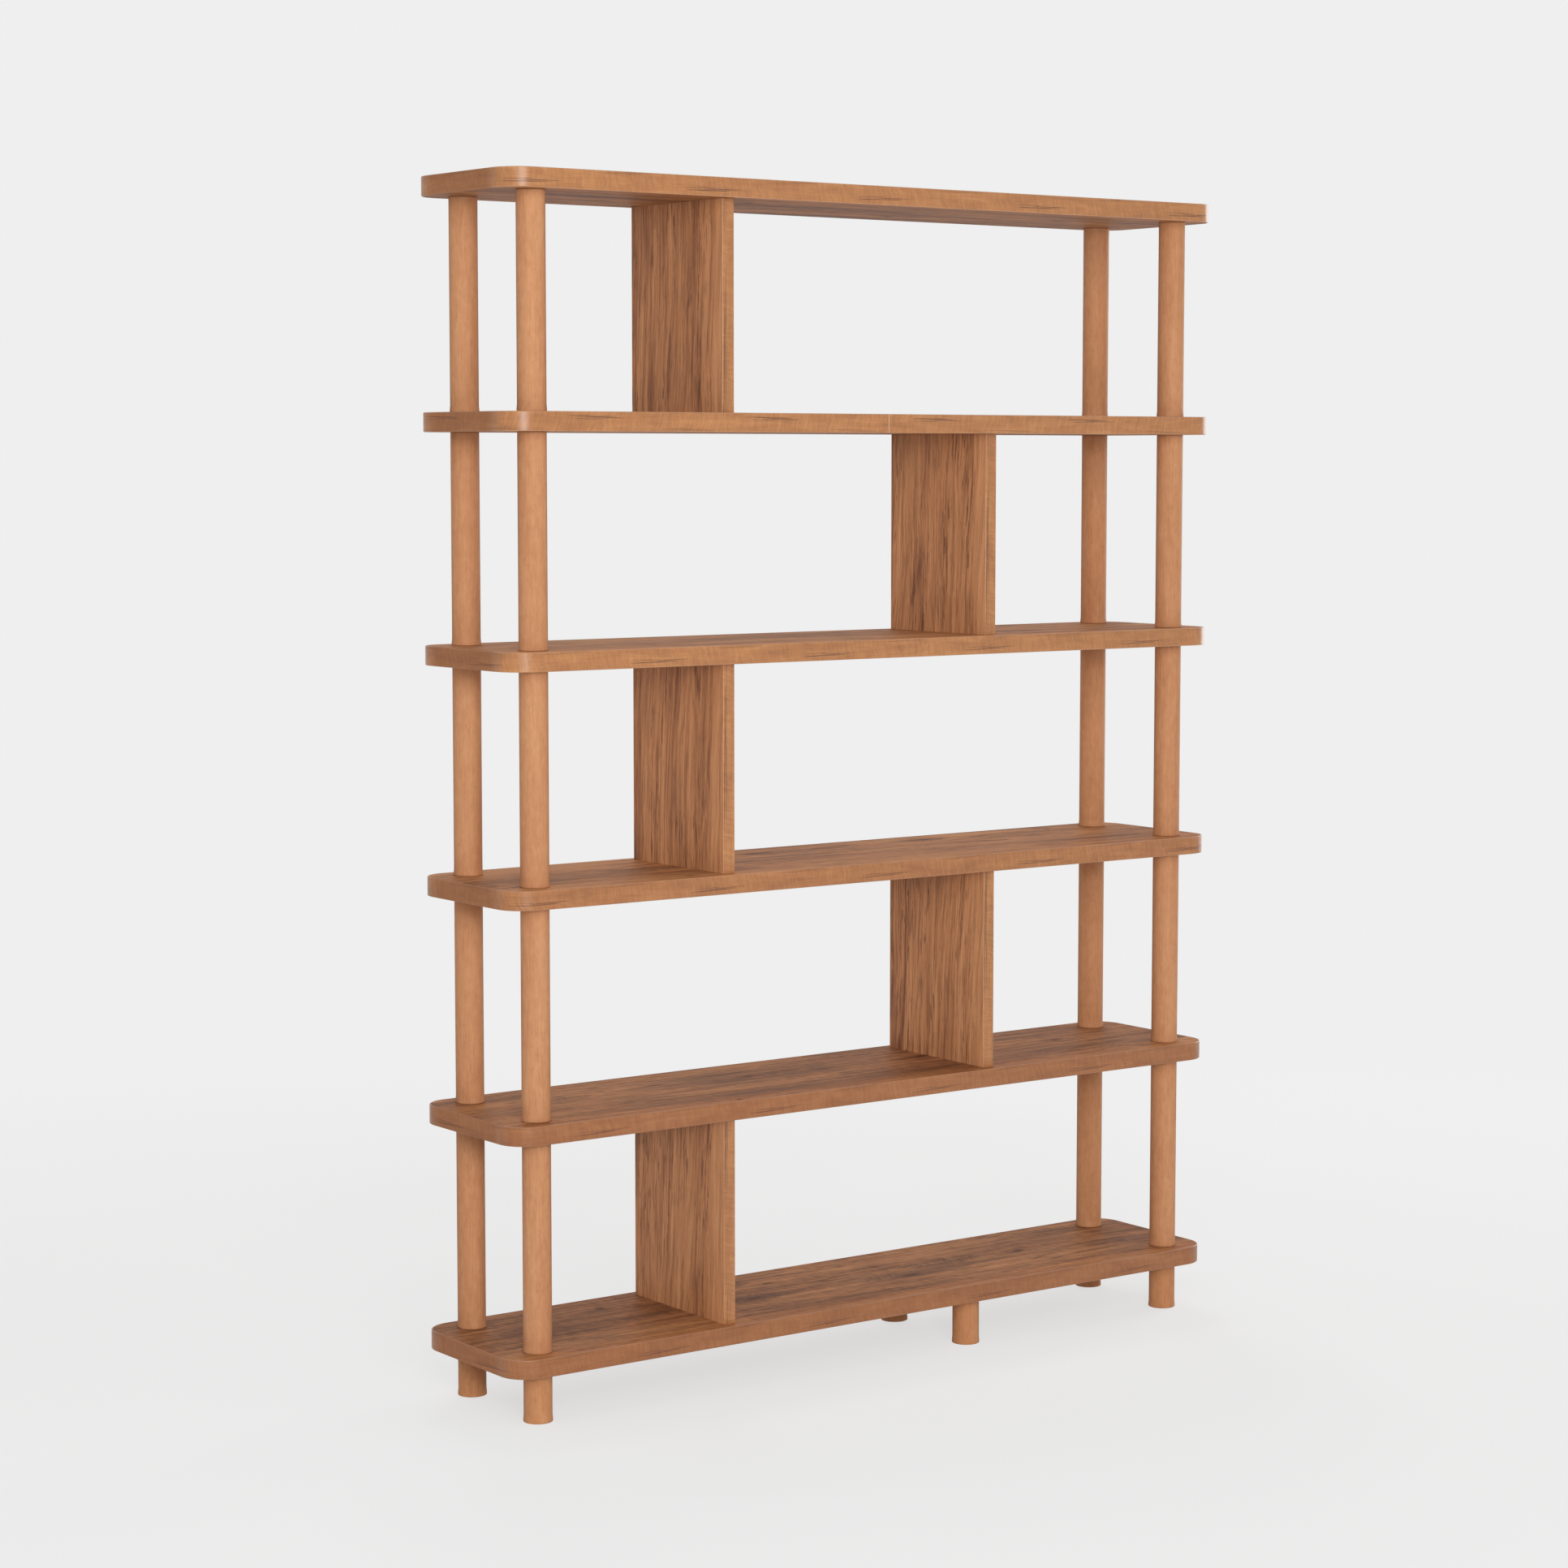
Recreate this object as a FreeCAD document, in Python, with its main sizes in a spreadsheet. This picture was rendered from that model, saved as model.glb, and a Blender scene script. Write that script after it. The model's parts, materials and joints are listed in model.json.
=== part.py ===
import FreeCAD, Part
import Sketcher
import math
import os
import re

# Spine bookshelf, a knock-down bookcase in millimetres.
# X runs along the shelves, the front faces -Y, +Z is up, and the origin lies on
# the floor under the middle of the shelves.  Six rounded shelves are stacked on
# four round posts a bay.  A stud in the top of each post passes up through the
# shelf and screws into the threaded insert in the foot of the post above, so
# four columns of posts, the spines, clamp every shelf.

SIZES = {
    # shelves
    "shelf_length": 1170,
    "shelf_depth": 238,
    "shelf_thickness": 25,
    "corner_radius": 38,
    "edge_thickness": 2,
    "edge_easing": 1.2,
    "edge_land": 0.4,
    # posts and feet
    "post_length": 272,
    "post_diameter": 38,
    "post_end_inset": 55,
    "post_side_inset": 38,
    "foot_height": 65,
    "foot_diameter": 38,
    "mid_foot_inset": 418,
    "turned_easing": 1,
    # upright dividers
    "divider_thickness": 18,
    "divider_setback": 14,
    "divider_easing": 0.8,
    "left_divider_inset": 336,
    "right_divider_inset": 400,
    # studs and threaded inserts
    "stud_diameter": 8,
    "stud_grip": 25,
    "stud_reach": 20,
    "stud_chamfer": 1,
    "stud_gap": 0.5,
    "thread_gap": 0.05,
    "insert_wall": 2,
    "insert_skin": 3,
    "tip_room": 2,
    # dowels that hold the dividers
    "dowel_diameter": 8,
    "dowel_depth": 20,
    "dowel_skin": 10,
    "dowel_inset": 35,
}

BAYS = 5
SHELVES = BAYS + 1

# Sizes that follow from the ones above.
DERIVED = {
    "pitch": "(post_length + shelf_thickness)",
    "post_x": "(shelf_length / 2 - post_end_inset)",
    "post_y": "(shelf_depth / 2 - post_side_inset)",
    "mid_foot_x": "(shelf_length / 2 - mid_foot_inset)",
    "left_divider_x": "(left_divider_inset - shelf_length / 2)",
    "right_divider_x": "(shelf_length / 2 - right_divider_inset)",
    "divider_depth": "(shelf_depth - 2 * divider_setback)",
    "dowel_y": "((shelf_depth - 2 * divider_setback) / 2 - dowel_inset)",
    "dowel_shelf_depth": "(shelf_thickness - dowel_skin)",
    "insert_radius": "(stud_diameter / 2 + thread_gap + insert_wall)",
    "insert_bore": "(stud_diameter / 2 + thread_gap)",
    "insert_length": "(stud_reach + tip_room)",
    "blind_insert_length": "(shelf_thickness - insert_skin)",
    "blind_reach": "(shelf_thickness - insert_skin - tip_room)",
}

CORNERS = {
    "front_left": (-1, -1),
    "front_right": (1, -1),
    "back_left": (-1, 1),
    "back_right": (1, 1),
}

# Words this long in a formula are names of sizes, and shorter ones are functions.
SIZE_NAME = re.compile(r"[a-z_]{4,}")

os.makedirs("parts", exist_ok=True)
doc = FreeCAD.newDocument("SpineBookshelf")
sheet = doc.addObject("Spreadsheet::Sheet", "Sizes")
for row, (alias, number) in enumerate(SIZES.items(), start=1):
    sheet.set(f"A{row}", alias)
    sheet.set(f"B{row}", str(number))
    sheet.setAlias(f"B{row}", alias)
doc.recompute()


def expression(formula):
    """Spell a formula of size names as a FreeCAD expression."""
    spelled = SIZE_NAME.sub(lambda word: DERIVED.get(word[0], word[0]), formula)
    return SIZE_NAME.sub(lambda word: f"Sizes.{word[0]}", spelled)


def measure(formula):
    return float(sheet.evalExpression(expression(formula)))


def bind(feature, prop, formula):
    feature.setExpression(prop, expression(formula))


def new_body(label, x="0", y="0", z="0"):
    body = doc.addObject("PartDesign::Body", label)
    body.Label = label
    for axis, formula in zip("xyz", (x, y, z)):
        bind(body, f"Placement.Base.{axis}", formula)
    return body


def origin_feature(body, role):
    return next(item for item in body.Origin.OriginFeatures if item.Role == role)


def new_sketch(body, name, height="0"):
    """Make a level sketch at a height above the body's own base plane."""
    sketch = body.newObject("Sketcher::SketchObject", name)
    sketch.AttachmentSupport = [(origin_feature(body, "XY_Plane"), "")]
    sketch.MapMode = "FlatFace"
    bind(sketch, "AttachmentOffset.Base.z", height)
    return sketch


def constrain(sketch, formula, *terms):
    index = sketch.addConstraint(Sketcher.Constraint(*terms, measure(formula)))
    bind(sketch, f"Constraints[{index}]", formula)


def draw_circle(sketch, x, y, radius):
    centre = FreeCAD.Vector(measure(x), measure(y), 0)
    circle = Part.Circle(centre, FreeCAD.Vector(0, 0, 1), measure(radius))
    index = sketch.addGeometry(circle)
    constrain(sketch, radius, "Radius", index)
    constrain(sketch, x, "DistanceX", -1, 1, index, 3)
    constrain(sketch, y, "DistanceY", -1, 1, index, 3)


def draw_rectangle(sketch, length, depth):
    """Draw a rectangle centred on the sketch's origin."""
    half_x, half_y = measure(length) / 2, measure(depth) / 2
    corners = [(-half_x, -half_y), (half_x, -half_y), (half_x, half_y), (-half_x, half_y)]
    points = [FreeCAD.Vector(x, y, 0) for x, y in corners]
    for side in range(4):
        sketch.addGeometry(Part.LineSegment(points[side], points[(side + 1) % 4]))
    for side in range(4):
        sketch.addConstraint(Sketcher.Constraint("Coincident", side, 2, (side + 1) % 4, 1))
        level = "Horizontal" if side % 2 == 0 else "Vertical"
        sketch.addConstraint(Sketcher.Constraint(level, side))
    sketch.addConstraint(Sketcher.Constraint("Symmetric", 0, 1, 1, 2, -1, 1))
    constrain(sketch, length, "DistanceX", 0, 1, 0, 2)
    constrain(sketch, depth, "DistanceY", 1, 1, 1, 2)


def draw_rounded_rectangle(sketch, length, depth, radius):
    """Draw a round-cornered rectangle centred on the sketch's origin."""
    half_x, half_y, bend = measure(length) / 2, measure(depth) / 2, measure(radius)
    straight = [
        ((bend - half_x, -half_y), (half_x - bend, -half_y)),
        ((half_x, bend - half_y), (half_x, half_y - bend)),
        ((half_x - bend, half_y), (bend - half_x, half_y)),
        ((-half_x, half_y - bend), (-half_x, bend - half_y)),
    ]
    centres = [
        (half_x - bend, bend - half_y),
        (half_x - bend, half_y - bend),
        (bend - half_x, half_y - bend),
        (bend - half_x, bend - half_y),
    ]
    quarter = math.pi / 2
    for start, end in straight:
        sketch.addGeometry(Part.LineSegment(FreeCAD.Vector(*start, 0), FreeCAD.Vector(*end, 0)))
    for turn, centre in enumerate(centres):
        circle = Part.Circle(FreeCAD.Vector(*centre, 0), FreeCAD.Vector(0, 0, 1), bend)
        sketch.addGeometry(Part.ArcOfCircle(circle, (turn - 1) * quarter, turn * quarter))
    for side in range(4):
        arc = side + 4
        following = (side + 1) % 4
        level = "Horizontal" if side % 2 == 0 else "Vertical"
        sketch.addConstraint(Sketcher.Constraint(level, side))
        sketch.addConstraint(Sketcher.Constraint("Tangent", side, 2, arc, 1))
        sketch.addConstraint(Sketcher.Constraint("Tangent", arc, 2, following, 1))
        if side:
            sketch.addConstraint(Sketcher.Constraint("Equal", 4, arc))
    sketch.addConstraint(Sketcher.Constraint("Symmetric", 4, 3, 6, 3, -1, 1))
    constrain(sketch, radius, "Radius", 4)
    constrain(sketch, length, "DistanceX", 3, 2, 1, 1)
    constrain(sketch, depth, "DistanceY", 0, 1, 2, 2)


def pad(body, sketch, name, length):
    feature = body.newObject("PartDesign::Pad", name)
    feature.Profile = sketch
    bind(feature, "Length", length)
    doc.recompute()
    return feature


def pocket_up(body, sketch, name, depth):
    """Cut from the sketch upwards."""
    feature = body.newObject("PartDesign::Pocket", name)
    feature.Profile = sketch
    feature.Reversed = True
    bind(feature, "Length", depth)
    doc.recompute()
    return feature


def pocket_down(body, sketch, name, depth):
    """Cut from the sketch downwards."""
    feature = body.newObject("PartDesign::Pocket", name)
    feature.Profile = sketch
    bind(feature, "Length", depth)
    doc.recompute()
    return feature


def edges_at(shape, *heights):
    """Name the edges that lie level at the given heights."""
    names = []
    for number, edge in enumerate(shape.Edges, start=1):
        box = edge.BoundBox
        if any(abs(box.ZMin - z) + abs(box.ZMax - z) < 1e-6 for z in heights):
            names.append(f"Edge{number}")
    return names


def soften(body, kind, name, property_name, size, *heights):
    """Fillet or chamfer the level edges at the given heights."""
    base = body.Tip
    feature = body.newObject(f"PartDesign::{kind}", name)
    feature.Base = (base, edges_at(base.Shape, *[measure(z) for z in heights]))
    bind(feature, property_name, size)
    doc.recompute()
    return feature


def repeat_up(body, name, offset, count):
    """Give a pattern step that repeats upwards."""
    step = body.newObject("PartDesign::LinearPattern", name)
    step.Direction = (origin_feature(body, "Z_Axis"), [""])
    step.Mode = "Spacing"
    step.Occurrences = count
    bind(step, "Offset", offset)
    return step


def shelf_z(number):
    """Height of a shelf's underside; shelf 1 is the lowest."""
    return f"foot_height + {number - 1} * pitch"


def bay_z(number):
    """Height of the floor of a bay, the top face of the shelf under it."""
    return f"foot_height + shelf_thickness + {number - 1} * pitch"


def divider_x(bay):
    """Dividers stand left in odd bays and right in even ones."""
    return "left_divider_x" if bay % 2 else "right_divider_x"


def drill_studs(body, number):
    """Stud holes go through every shelf but the top one, which is blind."""
    top = number == SHELVES
    holes = new_sketch(body, f"stud_holes_{number}")
    for side_x, side_y in CORNERS.values():
        radius = "insert_radius" if top else "stud_diameter / 2 + stud_gap"
        draw_circle(holes, f"{side_x} * post_x", f"{side_y} * post_y", radius)
    depth = "blind_insert_length" if top else "shelf_thickness"
    pocket_up(body, holes, f"stud_drilling_{number}", depth)


def drill_mid_feet(body):
    holes = new_sketch(body, "mid_foot_holes")
    for side_y in (-1, 1):
        draw_circle(holes, "mid_foot_x", f"{side_y} * post_y", "insert_radius")
    pocket_up(body, holes, "mid_foot_drilling", "blind_insert_length")


def drill_dowels(body, label, x, height, depth, cut):
    holes = new_sketch(body, f"{label}_holes", height)
    for side_y in (-1, 1):
        draw_circle(holes, x, f"{side_y} * dowel_y", "dowel_diameter / 2")
    cut(body, holes, f"{label}_drilling", depth)


def make_shelf(number):
    body = new_body(f"shelf_board_{number}", z=shelf_z(number))
    outline = new_sketch(body, f"board_outline_{number}")
    draw_rounded_rectangle(
        outline,
        "shelf_length - 2 * edge_thickness",
        "shelf_depth - 2 * edge_thickness",
        "corner_radius - edge_thickness",
    )
    pad(body, outline, f"board_slab_{number}", "shelf_thickness")
    drill_studs(body, number)
    if number == 1:
        drill_mid_feet(body)
    if number < SHELVES:
        drill_dowels(
            body,
            f"dowels_above_{number}",
            divider_x(number),
            "shelf_thickness",
            "dowel_shelf_depth",
            pocket_down,
        )
    if number > 1:
        drill_dowels(
            body,
            f"dowels_below_{number}",
            divider_x(number - 1),
            "0",
            "dowel_shelf_depth",
            pocket_up,
        )
    return body


def make_shelf_edge(number):
    """Edge band that wraps the board, flush above and below."""
    body = new_body(f"shelf_edge_{number}", z=shelf_z(number))
    outer = new_sketch(body, f"edge_outer_{number}")
    draw_rounded_rectangle(outer, "shelf_length", "shelf_depth", "corner_radius")
    pad(body, outer, f"edge_slab_{number}", "shelf_thickness")
    soften(
        body,
        "Fillet",
        f"edge_round_{number}",
        "Radius",
        "min(edge_easing; edge_thickness - edge_land)",
        "0",
        "shelf_thickness",
    )
    inner = new_sketch(body, f"edge_inner_{number}")
    draw_rounded_rectangle(
        inner,
        "shelf_length - 2 * edge_thickness",
        "shelf_depth - 2 * edge_thickness",
        "corner_radius - edge_thickness",
    )
    pocket_up(body, inner, f"edge_opening_{number}", "shelf_thickness")
    return body


def turned_piece(label, x, y, z, diameter, height):
    body = new_body(label, x, y, z)
    section = new_sketch(body, f"{label}_section")
    draw_circle(section, "0", "0", f"{diameter} / 2")
    pad(body, section, f"{label}_turning", height)
    soften(body, "Fillet", f"{label}_easing", "Radius", "turned_easing", "0", height)
    stud_hole = new_sketch(body, f"{label}_stud_hole", height)
    draw_circle(stud_hole, "0", "0", "stud_diameter / 2")
    pocket_down(body, stud_hole, f"{label}_stud_drilling", "stud_grip")
    return body


def make_post(bay, corner):
    side_x, side_y = CORNERS[corner]
    label = f"post_{bay}_{corner}"
    body = turned_piece(
        label,
        f"{side_x} * post_x",
        f"{side_y} * post_y",
        bay_z(bay),
        "post_diameter",
        "post_length",
    )
    insert_hole = new_sketch(body, f"{label}_insert_hole")
    draw_circle(insert_hole, "0", "0", "insert_radius")
    pocket_up(body, insert_hole, f"{label}_insert_drilling", "insert_length")
    return body


def make_post_studs(bay):
    """The four studs that stand out of the tops of one bay's posts."""
    label = f"post_studs_{bay}"
    body = new_body(label, z=f"{bay_z(bay)} + post_length - stud_grip")
    section = new_sketch(body, f"{label}_section")
    for side_x, side_y in CORNERS.values():
        draw_circle(section, f"{side_x} * post_x", f"{side_y} * post_y", "stud_diameter / 2")
    reach = "blind_reach" if bay == BAYS else "shelf_thickness + stud_reach"
    pad(body, section, f"{label}_rods", f"stud_grip + {reach}")
    soften(body, "Chamfer", f"{label}_tips", "Size", "stud_chamfer", f"stud_grip + {reach}")
    return body


def make_post_inserts():
    """A threaded insert in the foot of every post."""
    body = new_body("post_inserts", z=bay_z(1))
    section = new_sketch(body, "post_insert_section")
    for side_x, side_y in CORNERS.values():
        for radius in ("insert_radius", "insert_bore"):
            draw_circle(section, f"{side_x} * post_x", f"{side_y} * post_y", radius)
    lowest = pad(body, section, "post_insert_sleeves", "insert_length")
    bays = repeat_up(body, "post_insert_bays", "pitch", BAYS)
    bays.Originals = [lowest]
    body.Tip = bays
    return body


def make_shelf_inserts():
    """Blind inserts: four under the top shelf, two over the middle feet."""
    body = new_body("shelf_inserts", z=shelf_z(1))
    low = new_sketch(body, "low_insert_section")
    high = new_sketch(body, "high_insert_section", f"{BAYS} * pitch")
    for radius in ("insert_radius", "insert_bore"):
        for side_y in (-1, 1):
            draw_circle(low, "mid_foot_x", f"{side_y} * post_y", radius)
        for side_x, side_y in CORNERS.values():
            draw_circle(high, f"{side_x} * post_x", f"{side_y} * post_y", radius)
    pad(body, low, "low_insert_sleeves", "blind_insert_length")
    pad(body, high, "high_insert_sleeves", "blind_insert_length")
    return body


def make_divider(bay):
    label = f"divider_{bay}"
    body = new_body(label, x=divider_x(bay), z=bay_z(bay))
    outline = new_sketch(body, f"{label}_outline")
    draw_rectangle(outline, "divider_thickness", "divider_depth")
    panel = pad(body, outline, f"{label}_panel", "post_length")
    upright = [
        f"Edge{number}"
        for number, edge in enumerate(panel.Shape.Edges, start=1)
        if edge.BoundBox.ZLength > measure("post_length") / 2
    ]
    easing = body.newObject("PartDesign::Fillet", f"{label}_easing")
    easing.Base = (panel, upright)
    bind(easing, "Radius", "divider_easing")
    doc.recompute()
    drill_dowels(body, f"{label}_foot", "0", "0", "dowel_depth", pocket_up)
    drill_dowels(body, f"{label}_head", "0", "post_length", "dowel_depth", pocket_down)
    return body


def make_dowels(label, first_bay, count):
    """Dowels at the foot and head of every other bay's divider."""
    body = new_body(label, z=f"{bay_z(first_bay)} - dowel_shelf_depth")
    section = new_sketch(body, f"{label}_section")
    for side_y in (-1, 1):
        draw_circle(section, divider_x(first_bay), f"{side_y} * dowel_y", "dowel_diameter / 2")
    lowest = pad(body, section, f"{label}_pins", "dowel_shelf_depth + dowel_depth")
    pattern = body.newObject("PartDesign::MultiTransform", f"{label}_pattern")
    pattern.Originals = [lowest]
    pattern.Transformations = [
        repeat_up(body, f"{label}_head", "post_length + dowel_shelf_depth - dowel_depth", 2),
        repeat_up(body, f"{label}_bays", "2 * pitch", count),
    ]
    body.Tip = pattern
    return body


def make_foot(place, x, y):
    return turned_piece(f"foot_{place}", x, y, "0", "foot_diameter", "foot_height")


def make_foot_stud(place, x, y, reach):
    label = f"foot_stud_{place}"
    body = new_body(label, x, y, "foot_height - stud_grip")
    section = new_sketch(body, f"{label}_section")
    draw_circle(section, "0", "0", "stud_diameter / 2")
    pad(body, section, f"{label}_rod", f"stud_grip + {reach}")
    soften(body, "Chamfer", f"{label}_tip", "Size", "stud_chamfer", f"stud_grip + {reach}")
    return body


sub_parts = []
for shelf in range(1, SHELVES + 1):
    sub_parts.append(make_shelf(shelf))
    sub_parts.append(make_shelf_edge(shelf))

for bay in range(1, BAYS + 1):
    for corner in CORNERS:
        sub_parts.append(make_post(bay, corner))
    sub_parts.append(make_post_studs(bay))
    sub_parts.append(make_divider(bay))

sub_parts.append(make_post_inserts())
sub_parts.append(make_shelf_inserts())
sub_parts.append(make_dowels("dowels_left", 1, (BAYS + 1) // 2))
sub_parts.append(make_dowels("dowels_right", 2, BAYS // 2))

for corner, (side_x, side_y) in CORNERS.items():
    foot_x, foot_y = f"{side_x} * post_x", f"{side_y} * post_y"
    sub_parts.append(make_foot(corner, foot_x, foot_y))
    sub_parts.append(make_foot_stud(corner, foot_x, foot_y, "shelf_thickness + stud_reach"))
for side, side_y in (("front", -1), ("back", 1)):
    foot_y = f"{side_y} * post_y"
    sub_parts.append(make_foot(f"{side}_middle", "mid_foot_x", foot_y))
    sub_parts.append(make_foot_stud(f"{side}_middle", "mid_foot_x", foot_y, "blind_reach"))

doc.recompute()

for item in doc.Objects:
    if "Invalid" in item.State or "Error" in item.State:
        raise RuntimeError(f"{item.Name} failed: {item.State}")
    if item.TypeId == "PartDesign::Pocket":
        if item.Shape.Volume >= item.BaseFeature.Shape.Volume:
            raise RuntimeError(f"{item.Name} cuts nothing")

for body in sub_parts:
    if body.Shape.isNull() or not body.Shape.isValid():
        raise RuntimeError(f"{body.Label} has no valid shape")

for body in sub_parts:
    body.Shape.exportStep(f"parts/{body.Label}.step")
print(len(sub_parts), "sub-parts written")
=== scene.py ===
import json
import math
import random

import bpy
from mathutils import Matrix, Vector

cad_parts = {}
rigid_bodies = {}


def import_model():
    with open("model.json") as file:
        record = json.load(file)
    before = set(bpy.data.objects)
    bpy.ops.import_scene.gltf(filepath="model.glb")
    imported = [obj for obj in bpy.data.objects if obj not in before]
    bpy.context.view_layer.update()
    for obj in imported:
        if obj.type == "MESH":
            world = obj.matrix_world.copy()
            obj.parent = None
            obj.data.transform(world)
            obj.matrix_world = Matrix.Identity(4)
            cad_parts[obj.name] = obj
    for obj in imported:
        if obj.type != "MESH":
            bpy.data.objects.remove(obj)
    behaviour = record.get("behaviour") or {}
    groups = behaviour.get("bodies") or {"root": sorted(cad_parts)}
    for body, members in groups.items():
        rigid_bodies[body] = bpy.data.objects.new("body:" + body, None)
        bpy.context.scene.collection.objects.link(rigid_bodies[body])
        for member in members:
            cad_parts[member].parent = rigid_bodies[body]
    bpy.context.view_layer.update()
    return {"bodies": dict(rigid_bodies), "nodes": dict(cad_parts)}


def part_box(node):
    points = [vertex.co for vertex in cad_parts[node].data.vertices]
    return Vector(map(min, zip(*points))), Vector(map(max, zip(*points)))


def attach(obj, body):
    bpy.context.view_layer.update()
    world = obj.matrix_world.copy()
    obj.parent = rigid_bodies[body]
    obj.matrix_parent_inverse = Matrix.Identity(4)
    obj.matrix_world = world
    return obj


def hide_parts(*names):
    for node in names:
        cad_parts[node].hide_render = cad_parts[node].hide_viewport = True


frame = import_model()
nodes = frame["nodes"]
corners = ("front_left", "front_right", "back_left", "back_right")
footPlaces = corners + ("front_middle", "back_middle")
levels = range(1, 7)
bays = range(1, 6)
print("bookshelf: frame loaded with", len(nodes), "nodes")


def chip(red, green, blue):
    # a paint chip's 0-255 numbers as the linear colour that shaders take
    share = [value / 255 for value in (red, green, blue)]
    return [v / 12.92 if v <= 0.04045 else ((v + 0.055) / 1.055) ** 2.4 for v in share] + [1.0]


def plug(tree, value, socket):
    if isinstance(value, bpy.types.NodeSocket):
        tree.links.new(value, socket)
    else:
        socket.default_value = value


def addNode(tree, kind, settings=None, **inputs):
    made = tree.nodes.new("ShaderNode" + kind)
    for setting, value in (settings or {}).items():
        setattr(made, setting, value)
    for name, value in inputs.items():
        plug(tree, value, made.inputs[name])
    return made


def calc(tree, operation, first, second=0.0):
    made = addNode(tree, "Math", {"operation": operation})
    plug(tree, first, made.inputs[0])
    plug(tree, second, made.inputs[1])
    return made.outputs[0]


def times(tree, first, second):
    return calc(tree, "MULTIPLY", first, second)


def total(tree, start, *shares):
    # start plus every (value, weight) pair
    for value, weight in shares:
        start = calc(tree, "ADD", start, times(tree, value, weight))
    return start


def fromMiddle(tree, value, middle, scale):
    # the distance from the middle, in sizes whose inverse is the scale
    return times(tree, calc(tree, "SUBTRACT", value, middle), scale)


def squares(tree, first, second):
    # the sum of both squares
    return calc(tree, "ADD", times(tree, first, first), times(tree, second, second))


def rise(tree, value, low, high):
    # 0 below low, 1 above high, and the other way round where low is the larger
    made = addNode(tree, "MapRange", {"interpolation_type": "SMOOTHSTEP"}, Value=value)
    made.inputs["From Min"].default_value = low
    made.inputs["From Max"].default_value = high
    return made.outputs["Result"]


def tint(tree, under, share, colour):
    # lays a colour over what is there, by the given share
    made = addNode(tree, "Mix", {"data_type": "RGBA"})
    for value, index in ((share, 0), (under, 6), (chip(*colour), 7)):
        plug(tree, value, made.inputs[index])
    return made.outputs[2]


def ramp(tree, value, stops):
    made = addNode(tree, "ValToRGB", Fac=value)
    line = made.color_ramp.elements
    while len(line) < len(stops):
        line.new(0.5)
    for element, (place, colour) in zip(line, stops):
        element.position = place
        element.color = chip(*colour)
    return made.outputs["Color"]


def split(tree, vector):
    return addNode(tree, "SeparateXYZ", Vector=vector).outputs


def join(tree, x, y, z):
    return addNode(tree, "CombineXYZ", X=x, Y=y, Z=z).outputs[0]


def attribute(tree, label):
    # one of the vectors that makePiece lays on the corners of the faces
    return addNode(tree, "Attribute", {"attribute_name": label}).outputs["Vector"]


def objectPlace(tree):
    return addNode(tree, "TexCoord").outputs["Object"]


def cloud(tree, place, perMetre, shift, detail=3.0, rough=0.55, twist=0.0):
    # noise with its own number of cells per metre along each axis
    away = (shift, shift * 1.7, shift * 2.3)
    laid = addNode(tree, "Mapping", Vector=place, Scale=perMetre, Location=away)
    made = addNode(tree, "TexNoise", Vector=laid.outputs[0], Scale=1.0, Detail=detail, Roughness=rough)
    made.inputs["Distortion"].default_value = twist
    return made.outputs["Fac"]


def ringLines(tree, place, perMetre, shift, count):
    # thin dark growth lines: the level lines of a stretched noise
    hill = cloud(tree, place, perMetre, shift, 1.5, 0.45)
    wave = calc(tree, "ABSOLUTE", calc(tree, "SINE", times(tree, hill, count * math.pi)))
    return rise(tree, wave, 0.42, 0.04)


def newFinish(name, gloss=0.5):
    finish = bpy.data.materials.new(name)
    finish.use_nodes = True
    tree = finish.node_tree
    tree.nodes.clear()
    shader = addNode(tree, "BsdfPrincipled")
    shader.inputs["Specular IOR Level"].default_value = gloss
    ending = addNode(tree, "OutputMaterial")
    tree.links.new(shader.outputs["BSDF"], ending.inputs["Surface"])
    return finish, tree, shader


def emboss(tree, shader, height, depth):
    # depth is in metres, from the lowest to the highest of the pattern
    made = addNode(tree, "Bump", Height=height, Distance=depth, Strength=1.0)
    tree.links.new(made.outputs["Normal"], shader.inputs["Normal"])


boardLook = {
    "dark": (96, 60, 39),
    "brown": (130, 86, 57),
    "tan": (161, 110, 73),
    "light": (183, 128, 85),
    "pale": (200, 143, 95),
    "smoke": (104, 74, 56),
    "ember": (190, 116, 64),
    "knot": (80, 40, 16),
    "line": (92, 57, 38),
    "curl": (84, 56, 40),
    "tone": -1.02,
    "smokeShare": 0.62,
    "patchShare": 0.34,
    "lineShare": 0.40,
    "dashShare": 0.45,
    "fleckShare": 0.30,
    "frontShare": 0.22,
    "frontFrom": (-0.050, -0.090),
    "poreShare": 0.34,
    "curlShare": 0.58,
    "knotShare": 0.85,
    "sway": 0.022,
    "staveWidth": 0.040,
    "staveLength": 0.46,
    "roughness": 0.56,
    "gloss": 0.10,
    "emboss": 0.00006,
}

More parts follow.
